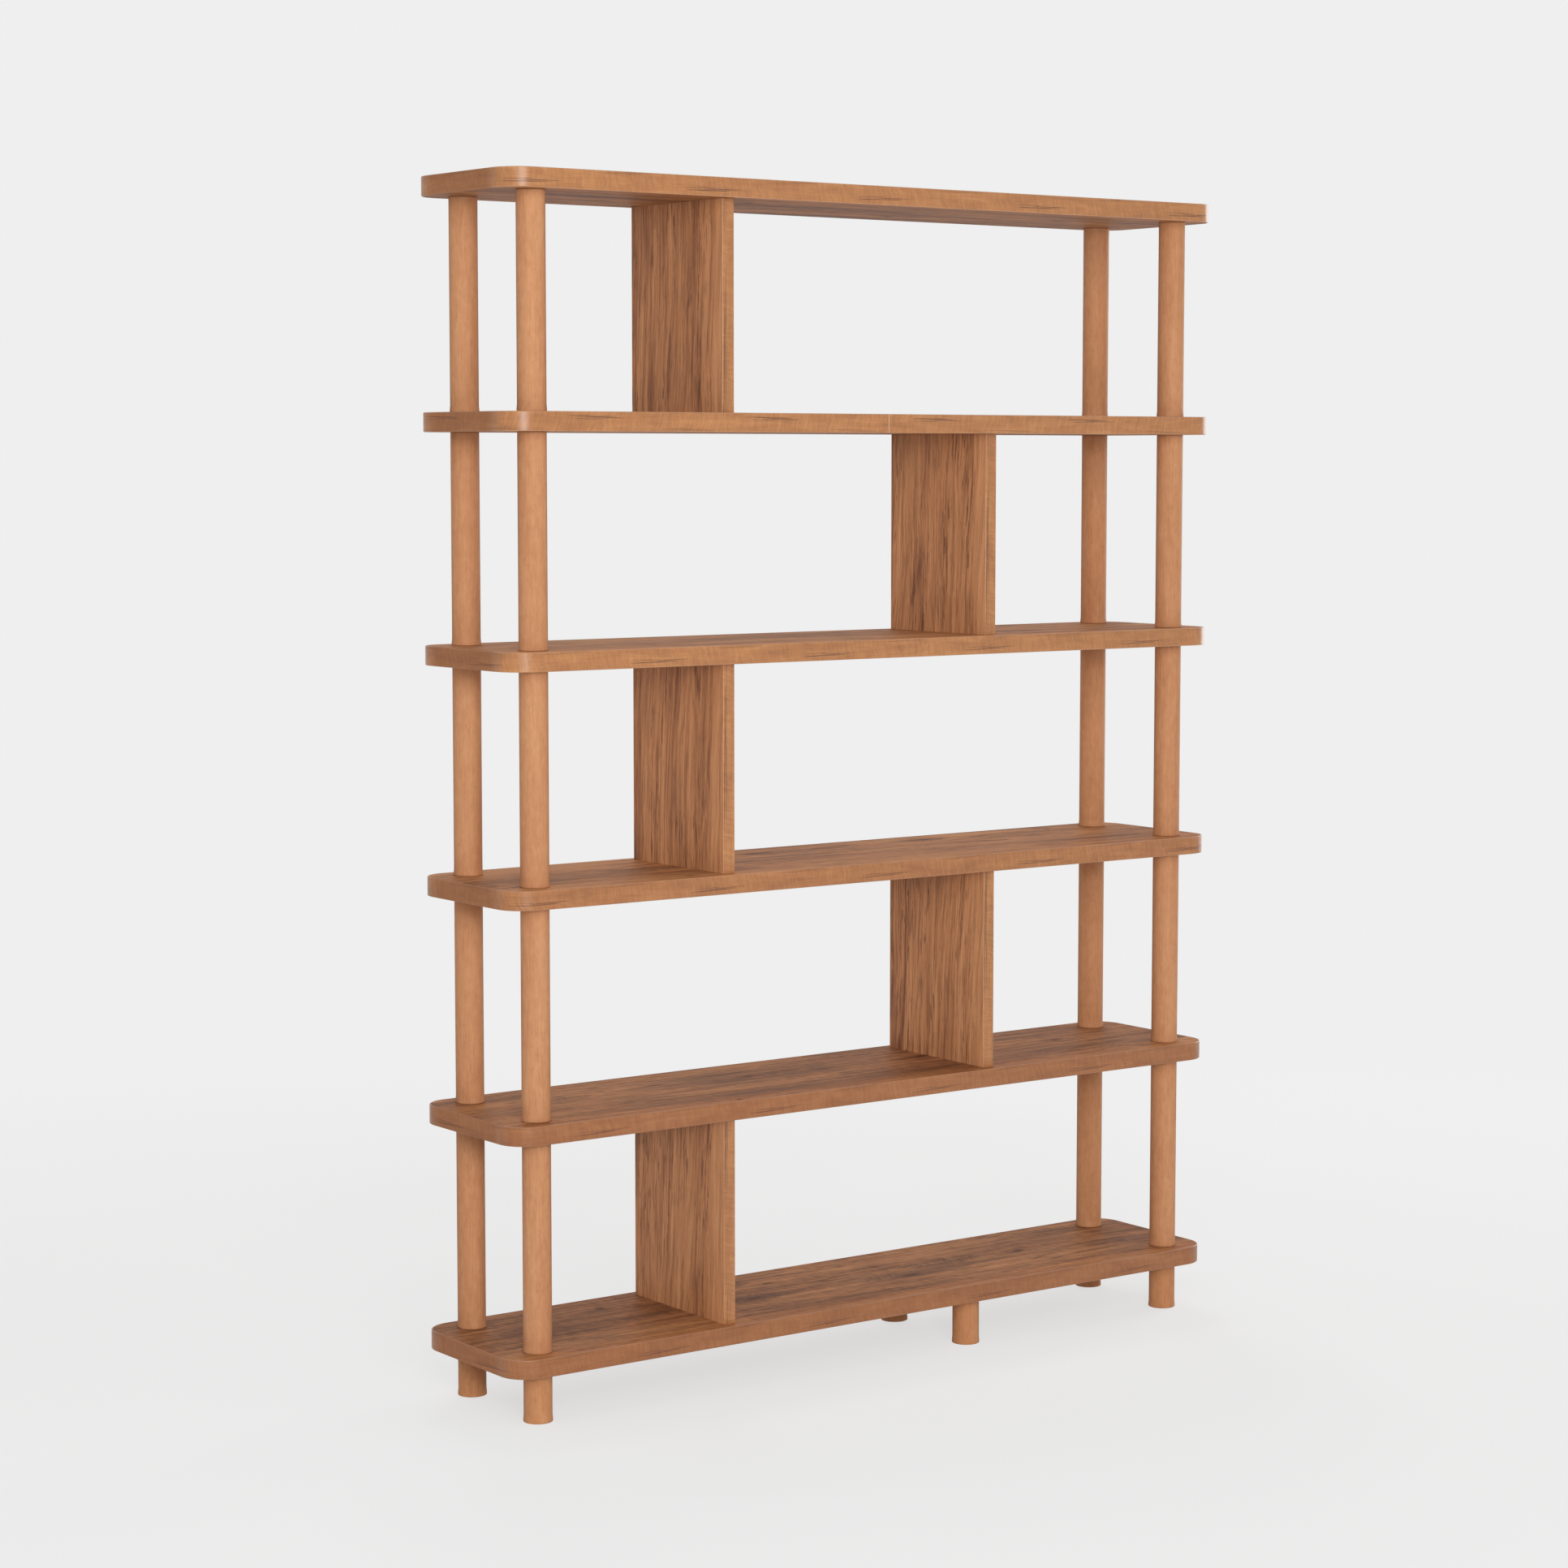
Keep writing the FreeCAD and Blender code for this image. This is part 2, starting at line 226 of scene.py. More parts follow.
# the boards' noises: perMetre counts the cells along and across the grain, and its third number
# parts one board's pattern from the next one's
boardGrain = {
    "wobble": {"perMetre": (75, 150, 1), "shift": 3.1},
    "curl": {"perMetre": (230, 38, 1), "shift": 4.9, "rough": 0.6, "twist": 0.9},
    "sway": {"perMetre": (2.2, 9, 1), "shift": 0.4, "detail": 2.0},
    "broad": {"perMetre": (1.7, 15, 1), "shift": 1.3},
    "streak": {"perMetre": (5.5, 95, 1), "shift": 2.1, "detail": 5.0, "rough": 0.65},
    "fibre": {"perMetre": (24, 560, 1), "shift": 4.7, "detail": 4.0, "rough": 0.62},
    "pore": {"perMetre": (60, 1300, 1), "shift": 6.2, "detail": 2.0},
    "haze": {"perMetre": (3.1, 30, 1), "shift": 8.8, "detail": 5.0, "rough": 0.65, "twist": 0.4},
    "fleck": {"perMetre": (34, 95, 1), "shift": 9.5, "detail": 2.0},
    "dash": {"perMetre": (15, 120, 1), "shift": 3.6, "rough": 0.6},
    "chop": {"perMetre": (125, 62, 1), "shift": 2.7, "rough": 0.6},
    "patchy": {"perMetre": (2.6, 30, 1), "shift": 7.1},
    "lines": {"perMetre": (1.1, 17, 1), "shift": 5.9, "count": 10},
}
# painted light: how much paler each board is than the first, in place of the light and sheen that fall on
# the tops of the upper boards
boardPaintedLight = {1: 0.0, 2: 0.0, 3: 0.17, 4: 0.24, 5: 0.10, 6: 0.06}
# knots of each board: along, across, half length in metres
boardKnots = {
    1: [(-0.343, 0.063, 0.011), (-0.077, 0.053, 0.012), (0.109, 0.046, 0.013), (0.334, 0.008, 0.013),
        (0.116, -0.023, 0.016), (-0.142, -0.008, 0.017), (0.069, 0.078, 0.006), (-0.116, 0.085, 0.007)],
    2: [(-0.128, 0.025, 0.012), (0.165, 0.020, 0.015), (0.409, 0.018, 0.016), (-0.236, -0.108, 0.008)],
    3: [(-0.086, 0.063, 0.012), (0.206, 0.074, 0.018), (0.446, 0.083, 0.009), (-0.304, -0.094, 0.008)],
    4: [(-0.410, 0.030, 0.012), (0.052, 0.070, 0.010), (0.300, -0.042, 0.014)],
    5: [(-0.300, 0.060, 0.010), (0.210, -0.020, 0.015), (0.470, 0.050, 0.009)],
    6: [(-0.180, -0.050, 0.014), (0.130, 0.055, 0.011), (0.380, -0.010, 0.016)],
}
# how a knot is drawn out along and narrowed across, how ragged it is and how the grain bends by it
knotForm = {
    "along": 0.60,
    "across": 1.35,
    "ragged": 1.3,
    "rings": 6.5,
    "ringShare": 0.36,
    "bend": -0.0035,
}
# curly patches of each board: along, across, half length, half width in metres
boardCurls = {
    1: [(-0.146, -0.006, 0.066, 0.024), (0.088, -0.014, 0.056, 0.024), (0.205, 0.018, 0.080, 0.020)],
    2: [(0.160, 0.018, 0.060, 0.012), (-0.420, 0.030, 0.050, 0.012)],
    3: [(0.206, 0.070, 0.055, 0.018), (-0.330, 0.010, 0.060, 0.014)],
    4: [(0.290, -0.040, 0.050, 0.016)],
    5: [(-0.120, 0.020, 0.060, 0.018)],
    6: [(0.130, 0.040, 0.060, 0.016), (-0.400, -0.020, 0.050, 0.016)],
}


def knotField(tree, x, y, seed, knots):
    # dark knots, rings round them, and how far the grain bends past them
    form = knotForm
    stain, bend = 0.0, 0.0
    wobble = cloud(tree, join(tree, x, y, seed), **boardGrain["wobble"])
    for along, across, size in knots:
        dx = fromMiddle(tree, x, along, form["along"] / size)
        dy = fromMiddle(tree, y, across, form["across"] / size)
        far = calc(tree, "SQRT", squares(tree, dx, dy))
        ragged = total(tree, far, (wobble, form["ragged"]))
        ringed = calc(tree, "ABSOLUTE", calc(tree, "SINE", times(tree, ragged, form["rings"])))
        core = rise(tree, ragged, 1.30, 0.85)
        halo = times(tree, rise(tree, ragged, 2.4, 1.0), total(tree, 0.06, (ringed, form["ringShare"])))
        stain = calc(tree, "ADD", stain, calc(tree, "MAXIMUM", core, halo))
        bend = total(tree, bend, (dy, rise(tree, far, 3.2, 0.0)))
    return stain, bend


def curlField(tree, x, y, seed, curls):
    # fine marks lying across the grain inside soft oval patches
    slant = total(tree, x, (y, -0.30))
    marks = cloud(tree, join(tree, slant, y, seed), **boardGrain["curl"])
    patches = 0.0
    for along, across, halfLong, halfWide in curls:
        dx = fromMiddle(tree, x, along, 1 / halfLong)
        dy = fromMiddle(tree, y, across, 1 / halfWide)
        patches = calc(tree, "MAXIMUM", patches, rise(tree, squares(tree, dx, dy), 1.1, 0.3))
    return times(tree, patches, rise(tree, marks, 0.46, 0.66)), patches


def staveTone(tree, x, y, seed, length, width):
    # one random tone for each stave, the rows shifted at random along the board
    row = calc(tree, "FLOOR", calc(tree, "DIVIDE", y, width))
    away = addNode(tree, "TexWhiteNoise", {"noise_dimensions": "2D"}, Vector=join(tree, row, seed, 0.0))
    number = calc(tree, "FLOOR", calc(tree, "ADD", calc(tree, "DIVIDE", x, length), away.outputs["Value"]))
    place = join(tree, row, number, seed)
    return addNode(tree, "TexWhiteNoise", {"noise_dimensions": "3D"}, Vector=place).outputs["Value"]


def boardPrint(level):
    look = boardLook
    finish, tree, shader = newFinish(f"boardPrint{level}", look["gloss"])
    low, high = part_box(f"shelf_board_{level}")
    x, y, z = split(tree, objectPlace(tree))
    face = calc(tree, "GREATER_THAN", z, (low.z + high.z) / 2)  # the top has another cut than the underside
    seed = total(tree, level * 3.7, (face, 5.3))
    stain, bend = knotField(tree, x, y, seed, boardKnots[level])
    curl, patches = curlField(tree, x, y, seed, boardCurls[level])
    sway = cloud(tree, join(tree, x, y, seed), **boardGrain["sway"])
    across = total(tree, y, (calc(tree, "SUBTRACT", sway, 0.5), look["sway"]), (bend, knotForm["bend"]))
    place = join(tree, x, across, seed)
    stave = staveTone(tree, x, across, seed, look["staveLength"], look["staveWidth"])

    broad = cloud(tree, place, **boardGrain["broad"])
    streak = cloud(tree, place, **boardGrain["streak"])
    fibre = cloud(tree, place, **boardGrain["fibre"])
    pore = cloud(tree, place, **boardGrain["pore"])
    haze = cloud(tree, place, **boardGrain["haze"])
    fleck = cloud(tree, place, **boardGrain["fleck"])
    dash = cloud(tree, place, **boardGrain["dash"])
    slant = total(tree, x, (across, 0.35))
    chop = cloud(tree, join(tree, slant, across, seed), **boardGrain["chop"])
    patchy = rise(tree, cloud(tree, place, **boardGrain["patchy"]), 0.46, 0.66)

    front = rise(tree, total(tree, y, (broad, 0.05)), *look["frontFrom"])  # paler towards the front
    # the board's painted light lifts its whole tone, underside included
    tone = total(tree, look["tone"] + boardPaintedLight[level], (broad, 0.86), (streak, 1.10), (fibre, 0.46),
                 (chop, 0.48), (stave, 0.11), (front, 0.13))
    wood = ramp(tree, tone, [(0.12, look["dark"]), (0.34, look["brown"]), (0.52, look["tan"]),
                             (0.72, look["light"]), (0.94, look["pale"])])
    smoky = times(tree, rise(tree, haze, 0.50, 0.66), look["smokeShare"])
    smoky = times(tree, smoky, total(tree, 1.0, (front, -0.7)))
    smoky = calc(tree, "MAXIMUM", smoky, times(tree, patches, look["patchShare"]))
    wood = tint(tree, wood, smoky, look["smoke"])
    lines = ringLines(tree, place, **boardGrain["lines"])
    lines = times(tree, lines, total(tree, 0.04, (patchy, look["lineShare"])))
    wood = tint(tree, wood, lines, look["line"])
    dashed = rise(tree, total(tree, dash, (fibre, 0.35)), 0.73, 0.81)
    dashed = times(tree, dashed, total(tree, 0.34, (patchy, look["dashShare"])))
    wood = tint(tree, wood, dashed, look["line"])
    wood = tint(tree, wood, times(tree, rise(tree, fleck, 0.62, 0.72), look["fleckShare"]), look["ember"])
    wood = tint(tree, wood, times(tree, front, look["frontShare"]), look["ember"])
    wood = tint(tree, wood, times(tree, rise(tree, pore, 0.56, 0.68), look["poreShare"]), look["dark"])
    wood = tint(tree, wood, times(tree, curl, look["curlShare"]), look["curl"])
    wood = tint(tree, wood, times(tree, stain, look["knotShare"]), look["knot"])
    tree.links.new(wood, shader.inputs["Base Color"])
    sheen = total(tree, look["roughness"] - 0.06, (streak, 0.10), (pore, 0.06))
    tree.links.new(sheen, shader.inputs["Roughness"])
    emboss(tree, shader, total(tree, 0.0, (fibre, 0.6), (pore, 0.4)), look["emboss"])
    return finish


bandLook = {
    "dark": (139, 89, 52),
    "base": (166, 111, 66),
    "light": (189, 132, 83),
    "crack": (78, 47, 32),
    # rim: a painted highlight along the eased edges
    "rim": (205, 160, 128),
    "joint": (226, 190, 160),
    # deep: the colour of the painted shade on the straight ends and the low shelves
    "deep": (112, 48, 8),
    "tone": -0.28,
    "veilShare": 0.22,
    "rimShare": 0.40,
    "jointShare": 0.75,
    "crackShare": 0.85,
    "crackThickness": 0.00075,
    "upperCrackHeight": 0.0218,
    "upperCrackShare": 0.42,
    "shiftPerShelf": 0.0913,  # so that the cracks of neighbouring shelves aren't in line
    "endFrom": 0.5,
    "endHalfDepth": (0.094, 0.060),
    "endPaintedShade": 0.32,
    "endRougher": 0.34,
    "paintedShadeLevels": (4.2, 1.5),  # the painted shade of the low shelves rises between these shelf numbers
    "lowShelfPaintedShade": 0.40,
    "roughness": 0.34,
    "gloss": 0.60,
    "emboss": 0.00004,
}
bandGrain = {
    "sway": {"perMetre": (26, 75, 1), "shift": 0.7, "detail": 2.0},
    "ripple": {"perMetre": (330, 40, 1), "shift": 1.9, "rough": 0.62, "twist": 0.3},
    "mottle": {"perMetre": (13, 75, 1), "shift": 3.3, "twist": 0.6},
    "fibre": {"perMetre": (45, 900, 1), "shift": 4.1},
    "veil": {"perMetre": (9, 260, 1), "shift": 6.6},
    "wave": {"perMetre": (55, 30, 1), "shift": 5.5, "detail": 2.0},
}
# the cracks of the shelves' and the dividers' bands: how high and long they are, and how often they come
shelfCracks = {"height": 0.0066, "length": 0.074, "repeat": 0.270}
panelCracks = {"height": 0.0027, "length": 0.21, "repeat": 0.34}
# three cracks lie together: shift in crack lengths, lift in metres, share of the full size
crackGroup = ((-0.12, 0.0, 1.0), (0.16, 0.0017, 0.84), (-0.26, 0.0033, 0.62))


def cracks(tree, along, up, height, length, wave):
    # thin dark cracks, each pointed at both ends
    thickness = bandLook["crackThickness"]
    dark = 0.0
    for shift, lift, share in crackGroup:
        beside = fromMiddle(tree, along, shift * length, 2 / (length * share))
        point = calc(tree, "SQRT", calc(tree, "SUBTRACT", 1.0, times(tree, beside, beside)))
        above = total(tree, up, (wave, 0.0016), (along, -0.012), (1.0, -height - lift))
        slim = calc(tree, "SUBTRACT", times(tree, point, thickness * share), calc(tree, "ABSOLUTE", above))
        dark = calc(tree, "MAXIMUM", dark, rise(tree, slim, -0.0001, 0.0003))
    return dark


def bandPrint(name, crackSize):
    # the grain attribute holds along, up the strip and the strip's own number
    look = bandLook
    finish, tree, shader = newFinish(name, look["gloss"])
    along, up, seed = split(tree, attribute(tree, "grain"))
    rim, joint, _ = split(tree, attribute(tree, "edge"))
    place = join(tree, along, up, seed)
    sway = calc(tree, "SUBTRACT", cloud(tree, place, **bandGrain["sway"]), 0.5)
    rippled = join(tree, total(tree, along, (sway, 0.012), (up, 0.22)), up, seed)
    ripple = cloud(tree, rippled, **bandGrain["ripple"])
    mottle = cloud(tree, place, **bandGrain["mottle"])
    fibre = cloud(tree, place, **bandGrain["fibre"])
    veil = cloud(tree, place, **bandGrain["veil"])
    tone = total(tree, look["tone"], (ripple, 0.64), (mottle, 0.62), (fibre, 0.30))
    wood = ramp(tree, tone, [(0.20, look["dark"]), (0.50, look["base"]), (0.80, look["light"])])
    wood = tint(tree, wood, times(tree, rise(tree, veil, 0.60, 0.70), look["veilShare"]), look["dark"])

    turn = total(tree, along, (seed, look["shiftPerShelf"]))
    wave = calc(tree, "SUBTRACT", cloud(tree, place, **bandGrain["wave"]), 0.5)
    length, repeat = crackSize["length"], crackSize["repeat"]
    rows = ((0.0, crackSize["height"], look["crackShare"]),
            (repeat / 2, look["upperCrackHeight"], look["upperCrackShare"]))
    drawn = 0.0
    for start, height, share in rows:
        local = addNode(tree, "Math", {"operation": "WRAP"})
        for index, value in enumerate((calc(tree, "ADD", turn, start), repeat / 2, -repeat / 2)):
            plug(tree, value, local.inputs[index])
        group = cracks(tree, local.outputs[0], up, height, length, wave)
        drawn = calc(tree, "MAXIMUM", drawn, times(tree, group, share))
    drawn = times(tree, drawn, total(tree, 0.55, (rise(tree, fibre, 0.40, 0.56), 0.45)))
    wood = tint(tree, wood, drawn, look["crack"])
    # the rim colour is a painted highlight along the eased edges of the shelves' and dividers' strips
    wood = tint(tree, wood, times(tree, rim, look["rimShare"]), look["rim"])
    wood = tint(tree, wood, times(tree, joint, look["jointShare"]), look["joint"])

    # painted shade: the straight ends and the low shelves are darkened towards the deep colour as if in
    # shade, and the ends are rougher
    x, y, _ = split(tree, objectPlace(tree))
    atEnd = calc(tree, "GREATER_THAN", calc(tree, "ABSOLUTE", x), look["endFrom"])
    atEnd = times(tree, atEnd, rise(tree, calc(tree, "ABSOLUTE", y), *look["endHalfDepth"]))
    low = times(tree, rise(tree, seed, *look["paintedShadeLevels"]), total(tree, 1.0, (atEnd, -0.8)))
    paintedShade = total(tree, 0.0, (atEnd, look["endPaintedShade"]), (low, look["lowShelfPaintedShade"]))
    wood = tint(tree, wood, paintedShade, look["deep"])
    tree.links.new(wood, shader.inputs["Base Color"])
    sheen = total(tree, look["roughness"] - 0.04, (mottle, 0.06), (ripple, 0.04),
                  (atEnd, look["endRougher"]))
    tree.links.new(sheen, shader.inputs["Roughness"])
    emboss(tree, shader, total(tree, 0.0, (ripple, 0.3), (fibre, 0.5), (drawn, -0.8)), look["emboss"])
    return finish


panelLook = {
    "dark": (116, 72, 47),
    "brown": (155, 102, 67),
    "tan": (188, 130, 87),
    "light": (212, 154, 108),
    "line": (92, 54, 36),
    "tone": -0.68,
    "lineShare": 0.46,
    "veinShare": 0.48,
    "poreShare": 0.30,
    "lean": 0.045,
    "sway": 0.030,
    "lowestPaler": 0.055,
    "roughness": 0.56,
    "gloss": 0.22,
    "emboss": 0.00007,
}
panelGrain = {
    "sway": {"perMetre": (3.5, 10, 60), "shift": 0.9, "detail": 2.0},
    "broad": {"perMetre": (1.8, 34, 60), "shift": 1.3, "rough": 0.6},
    "streak": {"perMetre": (4.5, 150, 60), "shift": 2.6, "detail": 5.0, "rough": 0.70},
    "fibre": {"perMetre": (30, 560, 60), "shift": 4.4, "detail": 4.0, "rough": 0.65},
    "pore": {"perMetre": (90, 1600, 60), "shift": 6.1, "detail": 2.0},
    "lines": {"perMetre": (2.4, 24, 60), "shift": 5.2, "count": 7},
    "patchy": {"perMetre": (5.5, 40, 60), "shift": 7.7},
    "vein": {"perMetre": (5.5, 160, 60), "shift": 8.3, "detail": 5.0, "rough": 0.68},
    "dash": {"perMetre": (22, 230, 60), "shift": 3.4, "detail": 4.0, "rough": 0.65},
}


def panelPrint():
    # upright grain: the grain attribute is the place with the panel's own offset
    look = panelLook
    finish, tree, shader = newFinish("panelPrint", look["gloss"])
    side, across, height = split(tree, attribute(tree, "grain"))
    _, _, depth = split(tree, attribute(tree, "edge"))
    leaning = total(tree, across, (height, look["lean"]))
    sway = cloud(tree, join(tree, height, leaning, side), **panelGrain["sway"])
    swayed = total(tree, leaning, (calc(tree, "SUBTRACT", sway, 0.5), look["sway"]))
    place = join(tree, height, swayed, side)
    broad = cloud(tree, place, **panelGrain["broad"])
    streak = cloud(tree, place, **panelGrain["streak"])
    fibre = cloud(tree, place, **panelGrain["fibre"])
    pore = cloud(tree, place, **panelGrain["pore"])
    lines = ringLines(tree, place, **panelGrain["lines"])
    patchy = rise(tree, cloud(tree, place, **panelGrain["patchy"]), 0.46, 0.62)
    vein = cloud(tree, place, **panelGrain["vein"])
    dash = cloud(tree, place, **panelGrain["dash"])

    front = rise(tree, total(tree, depth, (sway, 0.12)), 0.24, 0.12)
    back = rise(tree, depth, 0.90, 1.0)
    lowest = rise(tree, side, 1.6, 1.2)  # the left face of the lowest divider
    tone = total(tree, look["tone"], (broad, 0.66), (streak, 1.16), (fibre, 0.60), (front, 0.10),
                 (back, -0.12), (lowest, look["lowestPaler"]))
    wood = ramp(tree, tone, [(0.14, look["dark"]), (0.36, look["brown"]), (0.54, look["tan"]),
                             (0.84, look["light"])])
    drawn = times(tree, lines, times(tree, patchy, look["lineShare"]))
    for field in (vein, dash):
        marked = rise(tree, total(tree, field, (fibre, 0.35)), 0.71, 0.81)
        marked = times(tree, marked, total(tree, 0.36, (patchy, look["veinShare"])))
        drawn = calc(tree, "MAXIMUM", drawn, marked)
    drawn = times(tree, drawn, total(tree, 1.0, (front, -0.75)))
    wood = tint(tree, wood, drawn, look["line"])
    wood = tint(tree, wood, times(tree, rise(tree, pore, 0.58, 0.70), look["poreShare"]), look["dark"])
    tree.links.new(wood, shader.inputs["Base Color"])
    tree.links.new(total(tree, look["roughness"] - 0.05, (streak, 0.10)), shader.inputs["Roughness"])
    emboss(tree, shader, total(tree, 0.0, (fibre, 0.5), (pore, 0.3), (drawn, -0.3)), look["emboss"])
    return finish


postLook = {
    "dark": (167, 112, 76),
    "base": (185, 131, 92),
    "light": (199, 147, 107),
    "fleck": (161, 106, 73),
    "rim": (160, 108, 75),
    "tone": -0.28,
    "fleckShare": 0.35,
    "rimShare": 0.5,
    "roughness": 0.58,
    "gloss": 0.16,
    "emboss": 0.00004,
}
footLook = dict(postLook, dark=(166, 110, 71), base=(184, 128, 87), light=(199, 146, 104))
turnedGrain = {
    "figure": {"perMetre": (34, 34, 3.2), "shift": 0.3, "rough": 0.5, "twist": 0.5},
    "mottle": {"perMetre": (150, 150, 70), "shift": 1.1},
    "fibre": {"perMetre": (900, 900, 22), "shift": 2.9, "rough": 0.6},
    "fleck": {"perMetre": (520, 520, 130), "shift": 5.2, "detail": 2.0},
}


def turnedWood(name, look):
    # solid timber: growth rings, fibres and short flecks in the piece's own block of wood
    finish, tree, shader = newFinish(name, look["gloss"])
    place = attribute(tree, "grain")
    rim, _, _ = split(tree, attribute(tree, "edge"))
    figure = cloud(tree, place, **turnedGrain["figure"])
    mottle = cloud(tree, place, **turnedGrain["mottle"])
    fibre = cloud(tree, place, **turnedGrain["fibre"])
    fleck = cloud(tree, place, **turnedGrain["fleck"])
    tone = total(tree, look["tone"], (figure, 0.50), (mottle, 0.48), (fibre, 0.58))
    wood = ramp(tree, tone, [(0.20, look["dark"]), (0.50, look["base"]), (0.80, look["light"])])
    wood = tint(tree, wood, times(tree, rise(tree, fleck, 0.60, 0.70), look["fleckShare"]), look["fleck"])
    wood = tint(tree, wood, times(tree, rim, look["rimShare"]), look["rim"])
    tree.links.new(wood, shader.inputs["Base Color"])
    tree.links.new(total(tree, look["roughness"] - 0.04, (fibre, 0.08)), shader.inputs["Roughness"])
    emboss(tree, shader, total(tree, 0.0, (fibre, 0.6), (fleck, -0.3)), look["emboss"])
    return finish


studLook = {
    "dark": (66, 69, 70),
    "light": (88, 91, 92),
    "metallic": 0.35,
    "roughness": 0.44,
    "emboss": 0.00001,
}
zincLook = dict(studLook, dark=(160, 154, 134), light=(192, 186, 166), metallic=1.0, roughness=0.34)
metalGrain = {
    "stain": {"perMetre": (420, 420, 420), "shift": 0.8},
    "brushed": {"perMetre": (900, 900, 3500), "shift": 2.2, "detail": 2.0},
}


def metalFinish(name, look):
    finish, tree, shader = newFinish(name)
    place = objectPlace(tree)
    stain = cloud(tree, place, **metalGrain["stain"])
    brushed = cloud(tree, place, **metalGrain["brushed"])
    colour = ramp(tree, stain, [(0.30, look["dark"]), (0.70, look["light"])])
    tree.links.new(colour, shader.inputs["Base Color"])
    shader.inputs["Metallic"].default_value = look["metallic"]
    tree.links.new(total(tree, look["roughness"] - 0.08, (stain, 0.16)), shader.inputs["Roughness"])
    emboss(tree, shader, brushed, look["emboss"])
    return finish


dowelLook = {"dark": (196, 158, 116), "light": (226, 192, 150), "roughness": 0.6, "emboss": 0.00006}
dowelGrain = {
    "fibre": {"perMetre": (1100, 1100, 40), "shift": 1.2},
    "flute": {"perMetre": (260, 260, 6), "shift": 2.4, "detail": 2.0},
}


def dowelFinish():
    look = dowelLook
    finish, tree, shader = newFinish("dowelBeech")
    place = objectPlace(tree)
    fibre = cloud(tree, place, **dowelGrain["fibre"])
    flute = cloud(tree, place, **dowelGrain["flute"])
    tone = total(tree, 0.0, (fibre, 0.6), (flute, 0.4))
    wood = ramp(tree, tone, [(0.3, look["dark"]), (0.7, look["light"])])
    tree.links.new(wood, shader.inputs["Base Color"])
    shader.inputs["Roughness"].default_value = look["roughness"]
    emboss(tree, shader, fibre, look["emboss"])
    return finish


def putOn(node, finish):
    # a piece that keeps its solid's own shape only gets a material
    mesh = nodes[node].data
    if not mesh.materials:
        mesh.materials.append(finish)
    for index in range(len(mesh.materials)):
        mesh.materials[index] = finish


sharpFrom = math.radians(40)


def makePiece(name, body, points, faces, finishes, grain, edge, faceFinish=None):
    # grain and edge are one vector for each corner of each face, in the order of the faces
    mesh = bpy.data.meshes.new(name)
    mesh.from_pydata(points, [], faces)
    for label, values in (("grain", grain), ("edge", edge)):
        layer = mesh.attributes.new(label, "FLOAT_VECTOR", "CORNER")
        layer.data.foreach_set("vector", [number for vector in values for number in vector])
    for finish in finishes:
        mesh.materials.append(finish)
    for polygon in mesh.polygons:
        polygon.use_smooth = True
        if faceFinish:
            polygon.material_index = faceFinish[polygon.index]
    mesh.set_sharp_from_angle(angle=sharpFrom)
    mesh.validate()
    piece = bpy.data.objects.new(name, mesh)
    bpy.context.scene.collection.objects.link(piece)
    even = piece.modifiers.new("evenShading", "WEIGHTED_NORMAL")
    even.keep_sharp = True
    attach(piece, body)
    return piece


def roundedPath(length, depth, radius, steps, frontPlaces=()):
    # once round a rounded rectangle from the middle of the back, by the left end and the front
    # each point is x, y, outward x, outward y and the way along, which is x itself at the front
    halfX, halfY = length / 2 - radius, depth / 2 - radius
    path = [(0.0, depth / 2, 0.0, 1.0)]
    for turn, (sideX, sideY) in enumerate([(-1, 1), (-1, -1), (1, -1), (1, 1)]):
        for step in range(steps + 1):
            angle = math.pi / 2 * (1 + turn + step / steps)
            outX, outY = math.cos(angle), math.sin(angle)
            path.append((sideX * halfX + radius * outX, sideY * halfY + radius * outY, outX, outY))
        if turn == 1:
            path += [(x, -depth / 2, 0.0, -1.0) for x in frontPlaces]
    path.append(path[0])
    way, ways = 0.0, [0.0]
    for before, after in zip(path, path[1:]):
        way += math.dist(before[:2], after[:2])
        ways.append(way)
    return [(*point, distance - way / 2) for point, distance in zip(path, ways)]


shelfBand = {
    "cornerRadius": 0.038,
    "thickness": 0.002,
    "easing": 0.0012,
    "glueLine": 0.00015,
    "cornerSteps": 24,
    "easingSteps": 5,
    "jointWidth": 0.0008,
    "jointDepth": 0.00025,
    "frontJointLevel": 5,
}


def bandProfile(height):
    # out, up, rim and way up the strip, once round the strip's section
    size = shelfBand
    easing, glue, inner = size["easing"], size["glueLine"], -size["thickness"]
    section = [(inner, glue, 0.0), (inner + glue, 0.0, 0.0)]
    for step in range(size["easingSteps"] + 1):
        angle = math.pi / 2 * step / size["easingSteps"]
        # rim: how much of the painted highlight lies here, most in the middle of the easing
        rim = math.sin(2 * angle)
        section.append((easing * (math.sin(angle) - 1), easing * (1 - math.cos(angle)), rim))
    section += [(out, height - up, rim) for out, up, rim in reversed(section)]
    rows, way = [], inner
    for number, (out, up, rim) in enumerate(section):
        if number:
            way += math.dist((out, up), section[number - 1][:2])
        rows.append((out, up, rim, way))
    return rows


